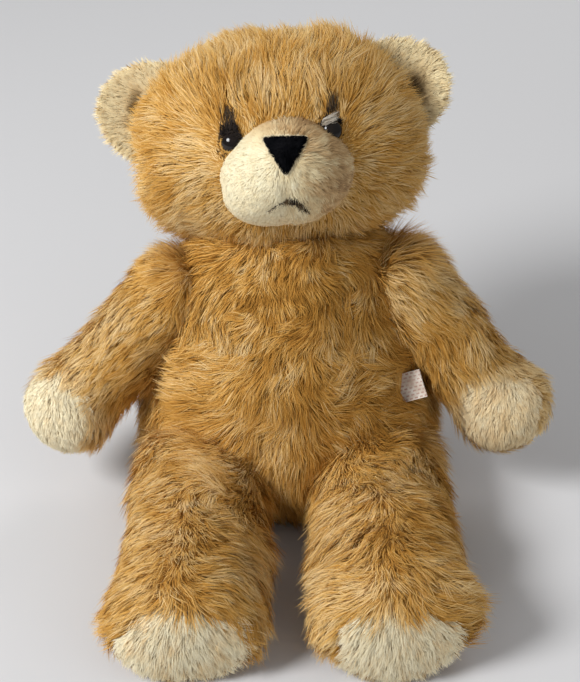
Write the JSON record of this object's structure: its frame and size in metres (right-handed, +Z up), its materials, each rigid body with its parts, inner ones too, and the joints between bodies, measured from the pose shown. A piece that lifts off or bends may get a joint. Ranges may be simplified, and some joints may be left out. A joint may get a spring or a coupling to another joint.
{
  "type": "teddy bear",
  "caption": "Seated plush teddy bear with worn long golden pile, pale muzzle, paws and soles, a wedge nose, bead eyes and a side label.",
  "frame": {"origin": "middle of the flat seat under the torso", "axes": "+Z up, the bear faces -Y, +X towards the bear's own left"},
  "size_m": [0.3701, 0.343, 0.3129],
  "materials": {
    "plush": "long golden-brown pile, matted and worn",
    "pad_pile": "short cream pile, soiled",
    "muzzle_pile": "sheared cream pile",
    "ear_pile": "short beige pile",
    "stuffing": "loose fibre fill",
    "nose_velvet": "black velvet",
    "thread": "black stitching thread",
    "label": "white woven tape, yellowed",
    "eye": "polished dark brown to black",
    "washer": "moulded"
  },
  "bodies": {
    "root": {"torso_cover": "plush", "torso_stuffing": "stuffing", "head_cover": "plush", "head_stuffing": "stuffing", "muzzle_cover": "muzzle_pile", "nose_patch": "nose_velvet", "mouth_stitch": "thread", "left_eye": "eye", "right_eye": "eye", "left_eye_washer": "washer", "right_eye_washer": "washer", "left_ear_lining": "ear_pile", "right_ear_lining": "ear_pile", "left_ear_back": "plush", "right_ear_back": "plush", "left_arm_cover": "plush", "right_arm_cover": "plush", "left_arm_stuffing": "stuffing", "right_arm_stuffing": "stuffing", "left_paw_pad": "pad_pile", "right_paw_pad": "pad_pile", "left_leg_cover": "plush", "right_leg_cover": "plush", "left_leg_stuffing": "stuffing", "right_leg_stuffing": "stuffing", "left_sole_pad": "pad_pile", "right_sole_pad": "pad_pile", "care_label": "label"}
  },
  "joints": []
}
